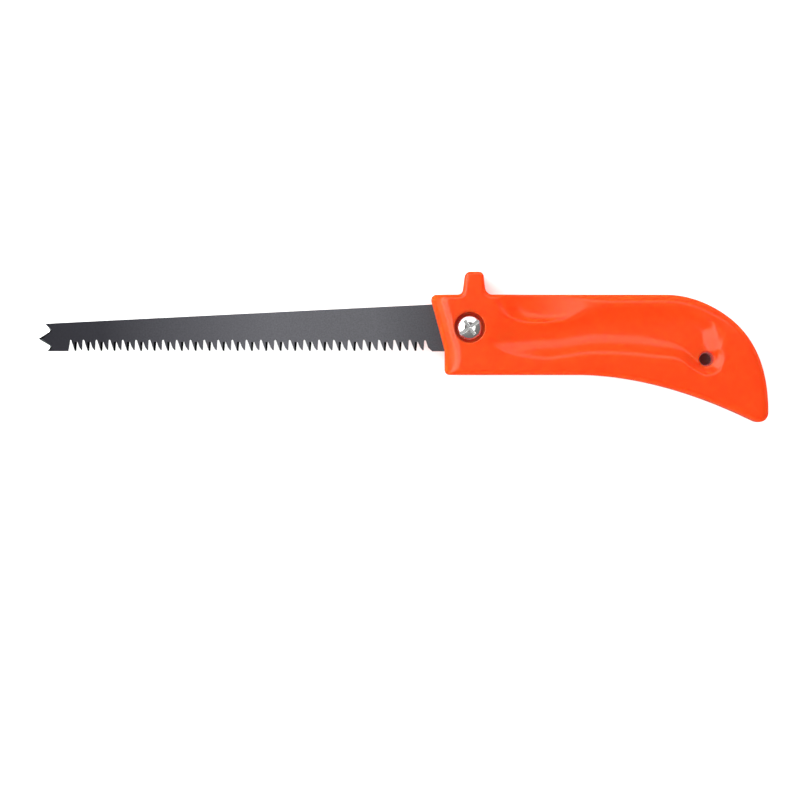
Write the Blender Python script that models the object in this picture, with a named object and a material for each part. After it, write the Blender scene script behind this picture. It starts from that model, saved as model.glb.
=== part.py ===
"""Drywall saw: a moulded plastic handle holding a toothed, pointed steel blade with one clamp screw.

The saw lies on its side. +X runs from the blade's point to the butt of the handle, +Y from the teeth to
the spine and the thumb stop, and +Z is up through the thickness. The origin is under the middle of the
whole saw, on the surface that it lies on. All sizes below are in millimetres, and outlines are measured
from the axis of the clamp screw. Meshes are made in metres.
"""

from math import cos, pi, radians, sin, tan

import bmesh
import bpy
from mathutils import Vector

MM = 0.001
GAP = 0.3                       # clearance between pieces that would touch
OVERSHOOT = 1.0                 # how far a cutter reaches past the surface that it opens

# Overall outline
POINT_X = -177.4                # tip of the blade
BUTT_X = 122.4                  # far end of the handle
HEEL_Y = -38.867                # lowest point of the heel
STOP_Y = 22.93                  # top of the thumb stop
THICKNESS = 22.0                # handle, across its two flat sides
MIDDLE_Z = THICKNESS / 2

# Handle outline
BACK_Y = 13.55                  # straight part of the handle's back
BELLY_Y = -19.45                # straight part of its underside
FRONT_LOW_X = -10.2             # front end below the blade
FRONT_HIGH_X = -15.65           # front end above the blade
CORNER_R = 2.0
EDGE_R = 1.8                    # rounding of the edges round both flat sides
HEEL_R = 3.85
BACK_STRAIGHT_END_X = 75.0
BELLY_STRAIGHT_END_X = 44.0

# Blade slot, screw seat and hanging hole
SLOT_WIDTH = 1.6
TANG_END_X = 15.0
SEAT_R = 6.3
SEAT_FLOOR_Z = 15.7
SCREW_HOLE_R = 2.8
NUT_POCKET_DEPTH = 5.3
HANG_X = 97.0
HANG_Y = -12.4
HANG_THROAT_R = 2.35
HANG_MOUTH_R = 3.5
HANG_MOUTH_DEPTH = 1.6          # the mouth is straight down to here, then narrows to the throat

# Hollows in the two flat sides: near end and far end as (x, y, half length, half width), then depth
PALM_HOLLOW = (14.0, -3.2, 5.5, 5.6), (90.0, -1.6, 10.0, 10.2), 2.6
THUMB_HOLLOW = (27.0, 15.0, 19.0, 12.5), (33.0, 15.0, 24.0, 12.5), 4.0
HANG_HOLLOW = (HANG_X, HANG_Y, 5.6, 5.6), (HANG_X, HANG_Y, 5.6, 5.6), 2.2

# Blade
BLADE_THICKNESS = 1.0
SPINE_AT_FRONT_Y = 9.7
SPINE_FLAT_X = -14.2            # the spine is level from here to the end of the tang
SPINE_SPIKE = (-174.65, 1.7)
TIP_NOTCH_X = -172.5
TIP_MIDDLE_Y = -4.53
LOW_SPIKE = (-173.8, -9.67)
TOOTH_LINE_Y = -9.55
GULLET_Y = -5.1
FIRST_GULLET_X = -164.0
TOOTH_PAIRS = 25
PAIR_PITCH = 5.30               # two teeth, next to the point
PITCH_GROWTH = 0.0446           # added to each pair, so the teeth get coarser towards the handle
TANG_BELLY_Y = -9.7

# Clamp screw, washer and nut, all M5
SCREW_R = 2.5
SCREW_LENGTH = 16.0
SCREW_END_CHAMFER = 0.6
HEAD_R = 4.75
HEAD_HEIGHT = 3.7
HEAD_CROWN_HEIGHT = 1.2
HEAD_CROWN_DROP = 0.25          # the crown's middle stands this much above its rounded edge
HEAD_CROWN_INSET = 1.6
RECESS_ANGLE = 35.0
RECESS_DEPTH = 1.5
RECESS_WIDTH = 1.5
CROSS_LENGTH = 5.6
WASHER_R = 5.0
WASHER_HOLE_R = 2.65
WASHER_THICKNESS = 1.0
NUT_ACROSS_FLATS = 8.0
NUT_THICKNESS = 4.0
WASHER_Z = SEAT_FLOOR_Z + GAP
HEAD_Z = WASHER_Z + WASHER_THICKNESS + GAP
NUT_Z = NUT_POCKET_DEPTH - GAP - NUT_THICKNESS

ROUND_STEPS = 32


# ---------------------------------------------------------------- outlines

def cubic(start, pull_start, pull_end, end, steps):
    """Points along a cubic curve, without its last point."""
    a, b, c, d = (Vector(p) for p in (start, pull_start, pull_end, end))
    points = []
    for i in range(steps):
        t = i / steps
        s = 1 - t
        points.append(s**3 * a + 3 * s * s * t * b + 3 * s * t * t * c + t**3 * d)
    return points


def rounded(corners, steps=5):
    """A closed outline from (x, y, radius) corners: each radius becomes a tangent arc."""
    outline = []
    count = len(corners)
    for i, (x, y, radius) in enumerate(corners):
        corner = Vector((x, y))
        if not radius:
            outline.append(corner)
            continue
        before = (Vector(corners[i - 1][:2]) - corner).normalized()
        after = (Vector(corners[(i + 1) % count][:2]) - corner).normalized()
        half = before.angle(after) / 2
        inward = (before + after).normalized()
        centre = corner + inward * (radius / sin(half))
        start = corner + before * (radius / tan(half)) - centre
        turn = start.angle_signed(corner + after * (radius / tan(half)) - centre)
        for k in range(steps + 1):
            angle = -turn * k / steps
            outline.append(centre + Vector((
                start.x * cos(angle) - start.y * sin(angle),
                start.x * sin(angle) + start.y * cos(angle))))
    return outline


def circle(radius, steps=ROUND_STEPS, x=0.0, y=0.0, turn=0.0):
    return [Vector((x + radius * cos(turn + 2 * pi * i / steps), y + radius * sin(turn + 2 * pi * i / steps)))
            for i in range(steps)]


def handle_outline():
    """Round the handle from the low front corner, along the belly, up the butt and back over the stop."""
    belly = cubic((BELLY_STRAIGHT_END_X, BELLY_Y), (67.2, BELLY_Y), (92.0, -26.5), (115.0, -37.6), 9)
    back = cubic((BUTT_X, -33.0), (BUTT_X, -5.5), (108.0, BACK_Y), (BACK_STRAIGHT_END_X, BACK_Y), 14)
    corners = [(FRONT_LOW_X, BELLY_Y, CORNER_R)]
    corners += [(p.x, p.y, 0) for p in belly]
    corners += [(115.0, -37.6, 0), (BUTT_X, -41.1, HEEL_R)]
    corners += [(p.x, p.y, 0) for p in back]
    corners += [
        (BACK_STRAIGHT_END_X, BACK_Y, 0),
        (6.68, BACK_Y, 3.0),
        (5.65, STOP_Y, 2.2),
        (-1.70, STOP_Y, 2.2),
        (-2.87, BACK_Y, 2.3),
        (FRONT_HIGH_X, BACK_Y, CORNER_R),
        (FRONT_HIGH_X, 10.8, 0),
        (FRONT_LOW_X, -9.5, 0),
    ]
    return rounded(corners)


def tooth_pair(x, pitch):
    """Two teeth with opposite bevels, from one wide gullet to the next, as the near side shows them."""
    return [
        (x + 0.03 * pitch, GULLET_Y),
        (x + 0.31 * pitch, TOOTH_LINE_Y),
        (x + 0.41 * pitch, TOOTH_LINE_Y),
        (x + 0.455 * pitch, GULLET_Y - 0.7),
        (x + 0.50 * pitch, GULLET_Y - 0.7),
        (x + 0.69 * pitch, TOOTH_LINE_Y + 1.3),
        (x + 0.90 * pitch, TOOTH_LINE_Y),
        (x + 0.965 * pitch, GULLET_Y),
    ]


def blade_outline():
    """Round the blade from the first gullet, along the teeth and the tang, and back down the spine."""
    x = FIRST_GULLET_X
    pitch = PAIR_PITCH
    points = [(x - 0.9, TOOTH_LINE_Y), (x - 0.2, GULLET_Y)]
    for _ in range(TOOTH_PAIRS):
        points += tooth_pair(x, pitch)
        x += pitch
        pitch += PITCH_GROWTH
    points += [(x + 0.2, GULLET_Y), (x + 1.2, -8.2), (x + 2.9, TANG_BELLY_Y)]
    points += [(TANG_END_X - 1.5, TANG_BELLY_Y), (TANG_END_X, TANG_BELLY_Y + 1.5), (TANG_END_X, -SCREW_HOLE_R)]
    arc = 12
    for i in range(arc + 1):
        angle = -pi / 2 - pi * i / arc
        points.append((SCREW_HOLE_R * cos(angle), SCREW_HOLE_R * sin(angle)))
    points += [(TANG_END_X, SCREW_HOLE_R), (TANG_END_X, SPINE_AT_FRONT_Y - 1.5)]
    points += [(TANG_END_X - 1.5, SPINE_AT_FRONT_Y), (SPINE_FLAT_X, SPINE_AT_FRONT_Y), SPINE_SPIKE]
    points += [
        (TIP_NOTCH_X - 0.2, -0.5), (TIP_NOTCH_X, -1.4),
        (POINT_X, TIP_MIDDLE_Y),
        (TIP_NOTCH_X, -7.5), (TIP_NOTCH_X - 0.2, -8.4),
        LOW_SPIKE,
    ]
    return [Vector(p) for p in points]


# ---------------------------------------------------------------- mesh helpers

def material(name, colour, roughness, metallic):
    made = bpy.data.materials.new(name)
    made.use_nodes = True
    shader = made.node_tree.nodes["Principled BSDF"]
    shader.inputs["Base Color"].default_value = (*colour, 1.0)
    shader.inputs["Roughness"].default_value = roughness
    shader.inputs["Metallic"].default_value = metallic
    made.diffuse_color = (*colour, 1.0)
    return made


def finish(bm, name, parent, made_of=None):
    """Turn a bmesh in millimetres into a named object in metres under its parent."""
    bmesh.ops.scale(bm, vec=(MM, MM, MM), verts=bm.verts)
    bmesh.ops.recalc_face_normals(bm, faces=bm.faces)
    mesh = bpy.data.meshes.new(name)
    bm.to_mesh(mesh)
    bm.free()
    made = bpy.data.objects.new(name, mesh)
    bpy.context.scene.collection.objects.link(made)
    made.parent = parent
    if made_of:
        mesh.materials.append(made_of)
        mesh.shade_smooth()
        mesh.set_sharp_from_angle(angle=radians(30))
    else:
        made.hide_render = True
        made.display_type = 'WIRE'
    return made


def prism(outline, low, high):
    """A closed solid standing on a flat outline."""
    bm = bmesh.new()
    base = bm.faces.new([bm.verts.new((p.x, p.y, low)) for p in outline])
    top = bmesh.ops.extrude_face_region(bm, geom=[base])
    moved = [v for v in top["geom"] if isinstance(v, bmesh.types.BMVert)]
    bmesh.ops.translate(bm, vec=(0, 0, high - low), verts=moved)
    return bm


def turned(profile, x=0.0, y=0.0):
    """A solid of revolution about an upright axis, from (radius, height) points."""
    bm = bmesh.new()
    points = [bm.verts.new((x + radius, y, height)) for radius, height in profile]
    edges = [bm.edges.new(pair) for pair in zip(points, points[1:])]
    if profile[0][0] > 0 and profile[-1][0] > 0:
        edges.append(bm.edges.new((points[-1], points[0])))
    bmesh.ops.spin(bm, geom=points + edges, cent=(x, y, 0), axis=(0, 0, 1), angle=2 * pi,
                   steps=ROUND_STEPS, use_merge=True)
    bmesh.ops.remove_doubles(bm, verts=bm.verts, dist=0.0001)
    return bm


def cut(target, cutter):
    boolean = target.modifiers.new(cutter.name, 'BOOLEAN')
    boolean.operation = 'DIFFERENCE'
    boolean.solver = 'EXACT'
    boolean.object = cutter


def box(low, high):
    bm = bmesh.new()
    bmesh.ops.create_cube(bm, size=1.0)
    size = [b - a for a, b in zip(low, high)]
    middle = [(a + b) / 2 for a, b in zip(low, high)]
    bmesh.ops.scale(bm, vec=size, verts=bm.verts)
    bmesh.ops.translate(bm, vec=middle, verts=bm.verts)
    return bm


# ---------------------------------------------------------------- the handle

def dish_cutter(side, near, far, depth):
    """A smooth hollow in one flat side: a flattened ball, its halves drawn apart from near to far.

    near and far are (x, y, half length, half width) of the hollow's two ends.
    """
    surface = MIDDLE_Z + side * MIDDLE_Z
    bm = bmesh.new()
    bmesh.ops.create_uvsphere(bm, u_segments=28, v_segments=12, radius=1.0)
    for vert in bm.verts:
        x, y, half_length, half_width = near if vert.co.x < -0.001 else far
        vert.co.x = x + vert.co.x * half_length
        vert.co.y = y + vert.co.y * half_width
        vert.co.z = surface + vert.co.z * depth
    return bm


def hang_cutter():
    """The hanging hole, with its mouths rounded over on both sides."""
    lip = HANG_MOUTH_R - HANG_THROAT_R
    steps = 4
    low = [(HANG_MOUTH_R, -OVERSHOOT), (HANG_MOUTH_R, HANG_MOUTH_DEPTH)]
    for k in range(1, steps + 1):
        angle = pi / 2 * k / steps
        low.append((HANG_MOUTH_R - lip * sin(angle), HANG_MOUTH_DEPTH + lip * (1 - cos(angle))))
    high = [(radius, THICKNESS - height) for radius, height in reversed(low)]
    profile = [(0.0, -OVERSHOOT)] + low + high + [(0.0, THICKNESS + OVERSHOOT)]
    return turned(profile, HANG_X, HANG_Y)


def make_handle(axis):
    plastic = material("orange_plastic", (1.0, 0.10, 0.013), 0.32, 0.0)
    handle = finish(prism(handle_outline(), 0, THICKNESS), "handle", axis, plastic)
    rounding = handle.modifiers.new("rounded_edges", 'BEVEL')
    rounding.limit_method = 'ANGLE'
    rounding.angle_limit = radians(60)
    rounding.width = EDGE_R * MM
    rounding.segments = 3
    rounding.use_clamp_overlap = False

    slot_low = (FRONT_HIGH_X - OVERSHOOT, TANG_BELLY_Y - GAP, MIDDLE_Z - SLOT_WIDTH / 2)
    slot_high = (TANG_END_X + GAP, SPINE_AT_FRONT_Y + GAP, MIDDLE_Z + SLOT_WIDTH / 2)
    pocket_r = (NUT_ACROSS_FLATS / 2 + GAP) / cos(pi / 6)
    cutters = {
        "palm_near": dish_cutter(1, *PALM_HOLLOW),
        "palm_far": dish_cutter(-1, *PALM_HOLLOW),
        "thumb_near": dish_cutter(1, *THUMB_HOLLOW),
        "thumb_far": dish_cutter(-1, *THUMB_HOLLOW),
        "dish_near": dish_cutter(1, *HANG_HOLLOW),
        "dish_far": dish_cutter(-1, *HANG_HOLLOW),
        "hanging_hole": hang_cutter(),
        "blade_slot": box(slot_low, slot_high),
        "screw_seat": prism(circle(SEAT_R), SEAT_FLOOR_Z, THICKNESS + OVERSHOOT),
        "screw_hole": prism(circle(SCREW_HOLE_R), NUT_POCKET_DEPTH - OVERSHOOT, SEAT_FLOOR_Z + OVERSHOOT),
        "nut_pocket": prism(circle(pocket_r, 6), -OVERSHOOT, NUT_POCKET_DEPTH),
    }
    for name, bm in cutters.items():
        cut(handle, finish(bm, "cut_" + name, axis))
    return handle


# ---------------------------------------------------------------- blade, screw, washer and nut

def make_blade(axis):
    steel = material("dark_steel", (0.09, 0.09, 0.10), 0.42, 0.85)
    low = MIDDLE_Z - BLADE_THICKNESS / 2
    return finish(prism(blade_outline(), low, low + BLADE_THICKNESS), "blade", axis, steel)


def recess_arm(length, angle):
    arm = box((-length / 2, -RECESS_WIDTH / 2, HEAD_Z + HEAD_HEIGHT - RECESS_DEPTH),
              (length / 2, RECESS_WIDTH / 2, HEAD_Z + HEAD_HEIGHT + OVERSHOOT))
    for vert in arm.verts:
        x, y = vert.co.x, vert.co.y
        vert.co.x = x * cos(angle) - y * sin(angle)
        vert.co.y = x * sin(angle) + y * cos(angle)
    return arm


def make_clamp_screw(axis, plating):
    """Pan head over a plain shank, with a full-width slot and a shorter cross arm."""
    steps = 5
    tip = HEAD_Z - SCREW_LENGTH
    profile = [(0.0, tip), (SCREW_R - SCREW_END_CHAMFER, tip)]
    profile += [(SCREW_R, tip + SCREW_END_CHAMFER), (SCREW_R, HEAD_Z), (HEAD_R, HEAD_Z)]
    edge = HEAD_Z + HEAD_HEIGHT - HEAD_CROWN_HEIGHT
    for k in range(steps):
        angle = pi / 2 * k / steps
        rise = (HEAD_CROWN_HEIGHT - HEAD_CROWN_DROP) * sin(angle)
        profile.append((HEAD_R - HEAD_CROWN_INSET * (1 - cos(angle)), edge + rise))
    profile.append((0.0, HEAD_Z + HEAD_HEIGHT))
    screw = finish(turned(profile), "clamp_screw", axis, plating)
    turn = radians(RECESS_ANGLE)
    cut(screw, finish(recess_arm(2 * (HEAD_R + OVERSHOOT), turn), "cut_slot", axis))
    cut(screw, finish(recess_arm(CROSS_LENGTH, turn + pi / 2), "cut_cross", axis))
    return screw


def make_washer(axis, plating):
    top = WASHER_Z + WASHER_THICKNESS
    ring = [(WASHER_HOLE_R, WASHER_Z), (WASHER_R, WASHER_Z), (WASHER_R, top), (WASHER_HOLE_R, top)]
    return finish(turned(ring), "washer", axis, plating)


def make_clamp_nut(axis, plating):
    corner_r = NUT_ACROSS_FLATS / 2 / cos(pi / 6)
    nut = finish(prism(circle(corner_r, 6), NUT_Z, NUT_Z + NUT_THICKNESS), "clamp_nut", axis, plating)
    hole = prism(circle(SCREW_HOLE_R), NUT_Z - OVERSHOOT, NUT_Z + NUT_THICKNESS + OVERSHOOT)
    cut(nut, finish(hole, "cut_nut_hole", axis))
    return nut


def main():
    for thing in list(bpy.data.objects):
        bpy.data.objects.remove(thing, do_unlink=True)
    axis = bpy.data.objects.new("screw_axis", None)
    bpy.context.scene.collection.objects.link(axis)
    axis.location = (-(POINT_X + BUTT_X) / 2 * MM, -(HEEL_Y + STOP_Y) / 2 * MM, 0.0)
    plating = material("zinc_plate", (0.78, 0.78, 0.76), 0.25, 1.0)
    make_handle(axis)
    make_blade(axis)
    make_clamp_screw(axis, plating)
    make_washer(axis, plating)
    make_clamp_nut(axis, plating)


main()
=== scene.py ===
# %% [markdown]
# # A drywall saw
# A jab saw for plasterboard: one moulded plastic handle, one toothed steel blade, and the screw, washer and
# nut that clamp them together. It lies on its side, and we look straight down on it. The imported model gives
# the places and sizes, and this lesson makes the surfaces that the eye sees.

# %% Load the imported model
from math import cos, pi, radians, sin, tan

import bmesh
import bpy
import numpy as np
from mathutils import Matrix, Vector


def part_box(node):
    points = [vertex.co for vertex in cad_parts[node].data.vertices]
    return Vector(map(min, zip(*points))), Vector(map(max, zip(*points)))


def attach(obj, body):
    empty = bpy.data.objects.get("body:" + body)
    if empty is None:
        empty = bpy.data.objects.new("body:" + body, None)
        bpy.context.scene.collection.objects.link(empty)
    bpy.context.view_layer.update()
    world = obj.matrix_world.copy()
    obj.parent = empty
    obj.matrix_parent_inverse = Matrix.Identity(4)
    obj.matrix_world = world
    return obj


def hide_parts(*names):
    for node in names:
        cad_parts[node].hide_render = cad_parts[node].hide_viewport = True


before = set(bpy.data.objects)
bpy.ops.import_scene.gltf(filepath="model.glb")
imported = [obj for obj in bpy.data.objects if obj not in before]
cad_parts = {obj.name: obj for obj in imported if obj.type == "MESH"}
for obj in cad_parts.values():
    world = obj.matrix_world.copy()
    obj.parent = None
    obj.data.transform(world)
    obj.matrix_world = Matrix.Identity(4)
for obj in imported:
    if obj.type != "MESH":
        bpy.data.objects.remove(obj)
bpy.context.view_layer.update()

# %% [markdown]
# ## Where things are
# A saw like this is drawn from one place, the axis of its clamp screw, so every outline below is in
# millimetres from that axis. The washer is centred on it, so its box gives the axis, and the handle's box
# gives the two flat sides. Working in millimetres keeps the numbers the size that a maker would say them.

# %% Millimetres from the screw's axis
MM = 0.001
washer_low, washer_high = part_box("washer")
AXIS = (washer_low + washer_high) / 2
TO_FRAME = Matrix.Translation((AXIS.x, AXIS.y, 0.0)) @ Matrix.Scale(MM, 4)

THICKNESS = (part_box("handle")[1].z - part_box("handle")[0].z) / MM
MIDDLE = THICKNESS / 2
BUTT_X = (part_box("handle")[1].x - AXIS.x) / MM
STOP_Y = (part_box("handle")[1].y - AXIS.y) / MM
POINT_X = (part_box("blade")[0].x - AXIS.x) / MM
print(f"handle {THICKNESS:.1f} mm thick, thumb stop at {STOP_Y:.2f}")
print(f"butt at {BUTT_X:.1f}, point at {POINT_X:.1f}")

# %% [markdown]
# ## The camera
# A small product is shot from well back with a long lens, so that it hardly tapers. Straight down over the
# saw's side, 1.5 m up, 330 mm of floor fills the frame.

# %% Camera
CAMERA_HEIGHT = 1500.0
FIELD = 329.2
FIELD_CENTRE = Vector((-28.5, -29.7))

camera_data = bpy.data.cameras.new("camera")
camera = bpy.data.objects.new("camera", camera_data)
bpy.context.scene.collection.objects.link(camera)
camera.location = TO_FRAME @ Vector((*FIELD_CENTRE, MIDDLE + CAMERA_HEIGHT))
camera_data.sensor_width = 36.0
camera_data.lens = camera_data.sensor_width * CAMERA_HEIGHT / FIELD
bpy.context.scene.camera = camera
print(f"lens {camera_data.lens:.0f} mm")

# %% [markdown]
# ## Helpers for shapes
# Every piece is drawn and cut in millimetres, because Boolean cuts go wrong on coordinates of a few
# thousandths. Modifiers do the cuts, and are applied by reading the evaluated mesh.

# %% From a bmesh to an object, and cuts
def put(bm, name):
    """A bmesh becomes an object, still in millimetres."""
    bmesh.ops.recalc_face_normals(bm, faces=bm.faces)
    mesh = bpy.data.meshes.new(name)
    bm.to_mesh(mesh)
    bm.free()
    made = bpy.data.objects.new(name, mesh)
    bpy.context.scene.collection.objects.link(made)
    return made


def apply_modifiers(piece):
    graph = bpy.context.evaluated_depsgraph_get()
    mesh = bpy.data.meshes.new_from_object(piece.evaluated_get(graph))
    piece.modifiers.clear()
    piece.data = mesh


def combine(piece, others, operation):
    """Cut, join or keep the overlap with other pieces, which are used up."""
    for other in others:
        boolean = piece.modifiers.new(other.name, 'BOOLEAN')
        boolean.operation = operation
        boolean.solver = 'EXACT'
        boolean.object = other
    apply_modifiers(piece)
    for other in others:
        bpy.data.objects.remove(other, do_unlink=True)


# %% [markdown]
# A finished piece is shaded smooth with its real edges kept sharp, and then its mesh is put in its place in
# metres. Its object stays at the origin, so patterns that follow the object's own coordinates don't slide.

# %% Finish a piece
def points_of(mesh):
    flat = np.empty(len(mesh.vertices) * 3, np.float32)
    mesh.vertices.foreach_get("co", flat)
    return flat.reshape(-1, 3).astype(float)


def finish_piece(piece, sharp_degrees):
    """Shade a piece, put its mesh in its place in the frame, and say how big it came out."""
    piece.data.shade_smooth()
    piece.data.set_sharp_from_angle(angle=radians(sharp_degrees))
    piece.data.transform(TO_FRAME)
    piece.data.calc_loop_triangles()
    points = points_of(piece.data)
    size = [round(d / MM, 2) for d in points.max(axis=0) - points.min(axis=0)]
    print(f"{piece.name}: {len(piece.data.loop_triangles)} triangles, {size} mm")


# %% [markdown]
# Outlines are lists of points in the plan. A corner with a radius becomes a tangent arc, as a draughtsman
# draws it, and a cubic curve joins two straight runs with a pull at each end.

# %% Outlines
def cubic(start, pull_start, pull_end, end, steps):
    """Points along a cubic curve, without its last point."""
    a, b, c, d = (Vector(p) for p in (start, pull_start, pull_end, end))
    parts = [(i / steps, 1 - i / steps) for i in range(steps)]
    return [s**3 * a + 3 * s * s * t * b + 3 * s * t * t * c + t**3 * d for t, s in parts]


def rounded(corners, steps=8):
    """A closed outline from (x, y, radius) corners: each radius becomes a tangent arc."""
    outline = []
    for i, (x, y, radius) in enumerate(corners):
        corner = Vector((x, y))
        if not radius:
            outline.append(corner)
            continue
        before = (Vector(corners[i - 1][:2]) - corner).normalized()
        after = (Vector(corners[(i + 1) % len(corners)][:2]) - corner).normalized()
        half = before.angle(after) / 2
        centre = corner + (before + after).normalized() * (radius / sin(half))
        first = corner + before * (radius / tan(half)) - centre
        last = corner + after * (radius / tan(half)) - centre
        turn = -first.angle_signed(last)
        outline += [centre + Matrix.Rotation(turn * k / steps, 2) @ first for k in range(steps + 1)]
    return outline


def circle(radius, steps):
    angles = [2 * pi * i / steps for i in range(steps)]
    return [Vector((radius * cos(a), radius * sin(a))) for a in angles]


# %% [markdown]
# Two operators turn outlines into solids. Extruding one face makes a prism, for what is punched or milled.
# Spinning a profile about an upright axis makes what a lathe would: the screw, the washer and round holes.

# %% Prisms and turned shapes
def prism(outline, low, high):
    """A closed solid standing on a flat outline."""
    bm = bmesh.new()
    base = bm.faces.new([bm.verts.new((p[0], p[1], low)) for p in outline])
    grown = bmesh.ops.extrude_face_region(bm, geom=[base])
    top = [v for v in grown["geom"] if isinstance(v, bmesh.types.BMVert)]
    bmesh.ops.translate(bm, vec=(0, 0, high - low), verts=top)
    return bm


def turned(profile, steps, x=0.0, y=0.0):
    """A solid of revolution about an upright axis, from (radius, height) points."""
    bm = bmesh.new()
    points = [bm.verts.new((x + radius, y, height)) for radius, height in profile]
    edges = [bm.edges.new(pair) for pair in zip(points, points[1:])]
    if profile[0][0] > 0:
        edges.append(bm.edges.new((points[-1], points[0])))
    bmesh.ops.spin(bm, geom=points + edges, cent=(x, y, 0), axis=(0, 0, 1), angle=2 * pi,
                   steps=steps, use_merge=True)
    bmesh.ops.remove_doubles(bm, verts=bm.verts, dist=0.0001)
    return bm


# %% [markdown]
# ## The handle's outline
# The handle is a pistol-like grip: a straight back with a thumb stop standing on it, a butt that swells
# round and down to a heel, and a belly that curves away. Straight runs, tangent arcs at the corners and a
# few cubic curves draw it, because those are what a mould maker's drawing has.

# %% Handle outline
FRONT_LOW_X = -10.2
FRONT_HIGH_X = -15.65
LEAN_LOW_Y = -9.5
LEAN_HIGH_Y = 10.8
BACK_Y = 13.55
BELLY_Y = -19.45
BACK_END_X = 80.2
HEEL_TOP = (115.0, -37.6)
HEEL_CORNER_Y = -41.1
BUTT_TURN = Vector((103.8, 6.0))
BUTT_TURN_ANGLE = radians(33.7)


def handle_outline():
    """Along the belly to the heel, round the butt, and back along the back and over the thumb stop."""
    belly = cubic((44.0, BELLY_Y), (67.2, BELLY_Y), (92.0, -26.5), HEEL_TOP, 40)
    turn = Vector((cos(BUTT_TURN_ANGLE), -sin(BUTT_TURN_ANGLE)))
    back = cubic((BUTT_X, -35.0), (BUTT_X, -21.0), BUTT_TURN + 18.9 * turn, BUTT_TURN, 40)
    back += cubic(BUTT_TURN, BUTT_TURN - 6.9 * turn, (BACK_END_X + 9.9, BACK_Y), (BACK_END_X, BACK_Y), 30)
    corners = [(FRONT_LOW_X, BELLY_Y, 2.0)]
    corners += [(p.x, p.y, 0) for p in belly]
    corners += [(*HEEL_TOP, 0), (BUTT_X, HEEL_CORNER_Y, 3.85)]
    corners += [(p.x, p.y, 0) for p in back]
    corners += [
        (BACK_END_X, BACK_Y, 0),
        (6.68, BACK_Y, 3.0), (5.65, STOP_Y, 2.2), (-1.70, STOP_Y, 2.2), (-2.87, BACK_Y, 2.3),
        (FRONT_HIGH_X, BACK_Y, 2.0), (FRONT_HIGH_X, LEAN_HIGH_Y, 0), (FRONT_LOW_X, LEAN_LOW_Y, 0),
    ]
    return rounded(corners)


OUTLINE = np.array([(p.x, p.y) for p in handle_outline()])
print("outline points:", len(OUTLINE))

# %% [markdown]
# ## The handle's surface
# The real surface is carved in steel: edges rounded by a ball cutter, a long hollow for the fingers, a
# scoop for the thumb. A hand-built mesh of such blends is hard to keep smooth, so the surface is written as
# a formula instead: how far a point is from the outline, and how thick the handle is there. A plain slab is
# remeshed into small even quads, and each of its points is then moved onto the formula's surface.
#
# The formula starts with distances in the plan, for all points at once, so they are written for arrays.

# %% Distances in the plan
def segment_distance(x, y, a, b):
    """Distance of each point from one straight run."""
    run = b - a
    along = ((x - a[0]) * run[0] + (y - a[1]) * run[1]) / (run @ run)
    along = np.clip(along, 0.0, 1.0)
    return np.hypot(x - a[0] - along * run[0], y - a[1] - along * run[1])


def chain_distance(x, y, chain):
    """Distance of each point from the nearest run of an open chain."""
    nearest = np.full_like(x, 1e3)
    for a, b in zip(chain[:-1], chain[1:]):
        nearest = np.minimum(nearest, segment_distance(x, y, a, b))
    return nearest


def is_inside(x, y, loop):
    """Even-odd test against a closed outline."""
    inside = np.zeros(x.shape, bool)
    for a, b in zip(loop, np.roll(loop, -1, axis=0)):
        if a[1] == b[1]:
            continue
        crosses = (a[1] > y) != (b[1] > y)
        inside ^= crosses & (x < a[0] + (y - a[1]) * (b[0] - a[0]) / (b[1] - a[1]))
    return inside


def depth_inside(x, y, loop):
    """Distance from a closed outline, positive inside it and negative outside."""
    distance = chain_distance(x, y, np.vstack([loop, loop[:1]]))
    return np.where(is_inside(x, y, loop), distance, -distance)


# %% [markdown]
# Two more tools shape it: a smooth step from 0 to 1, to let a width or a depth change along the handle, and
# a smooth curve through a few points, for the lips of the finger hollow, which follow a hand and no
# formula.

# %% Smooth steps and curves
def ramp(value, low, high):
    t = np.clip((value - low) / (high - low), 0.0, 1.0)
    return t * t * (3 - 2 * t)


def through(points, steps=6):
    """A smooth curve through a few points, its ends included."""
    p = np.array([points[0]] + list(points) + [points[-1]], float)
    curve = []
    for i in range(1, len(p) - 2):
        for k in range(steps):
            t = k / steps
            curve.append(0.5 * (2 * p[i] + (p[i + 1] - p[i - 1]) * t
                                + (2 * p[i - 1] - 5 * p[i] + 4 * p[i + 1] - p[i + 2]) * t**2
                                + (3 * p[i] - p[i - 1] - 3 * p[i + 1] + p[i + 2]) * t**3))
    curve.append(p[-2])
    return np.array(curve)


# %% [markdown]
# ### The finger hollow
# The finger hollow has a crisp lower lip that runs along the belly and round the hanging hole, and a softer
# upper lip below the rounded back. Its floor is nearer the lower lip, so each lip has its own wall: a
# parabola that is steepest at the lip. Where the two walls meet is the floor.

# %% Lips of the finger hollow
HOLE = Vector((97.0, -12.9))
LOWER_LIP = through([
    (6.0, -3.6), (9.0, -7.2), (14.8, -10.0), (22.0, -11.6), (29.0, -12.3), (33.7, -12.4), (39.0, -11.8),
    (46.0, -10.6), (55.0, -10.1), (66.0, -10.5), (76.0, -11.6), (83.0, -11.9), (87.0, -13.2), (92.2, -17.0),
    (97.0, -19.1), (101.6, -17.1), (103.0, -12.9), (101.8, -9.0),
])
UPPER_LIP = through([
    (101.8, -9.0), (100.6, -4.5), (100.0, -1.0), (98.4, 2.0), (92.8, 6.2), (86.0, 8.3), (78.0, 8.7),
    (62.0, 8.4), (54.5, 8.3), (50.0, 7.8), (45.0, 6.6), (40.0, 5.2), (35.0, 4.2), (30.0, 3.7), (25.0, 3.7),
    (19.0, 4.2), (12.0, 3.4), (7.5, 0.5), (6.0, -3.6),
])
FINGER_LOOP = np.vstack([LOWER_LIP, UPPER_LIP[1:-1]])
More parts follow.
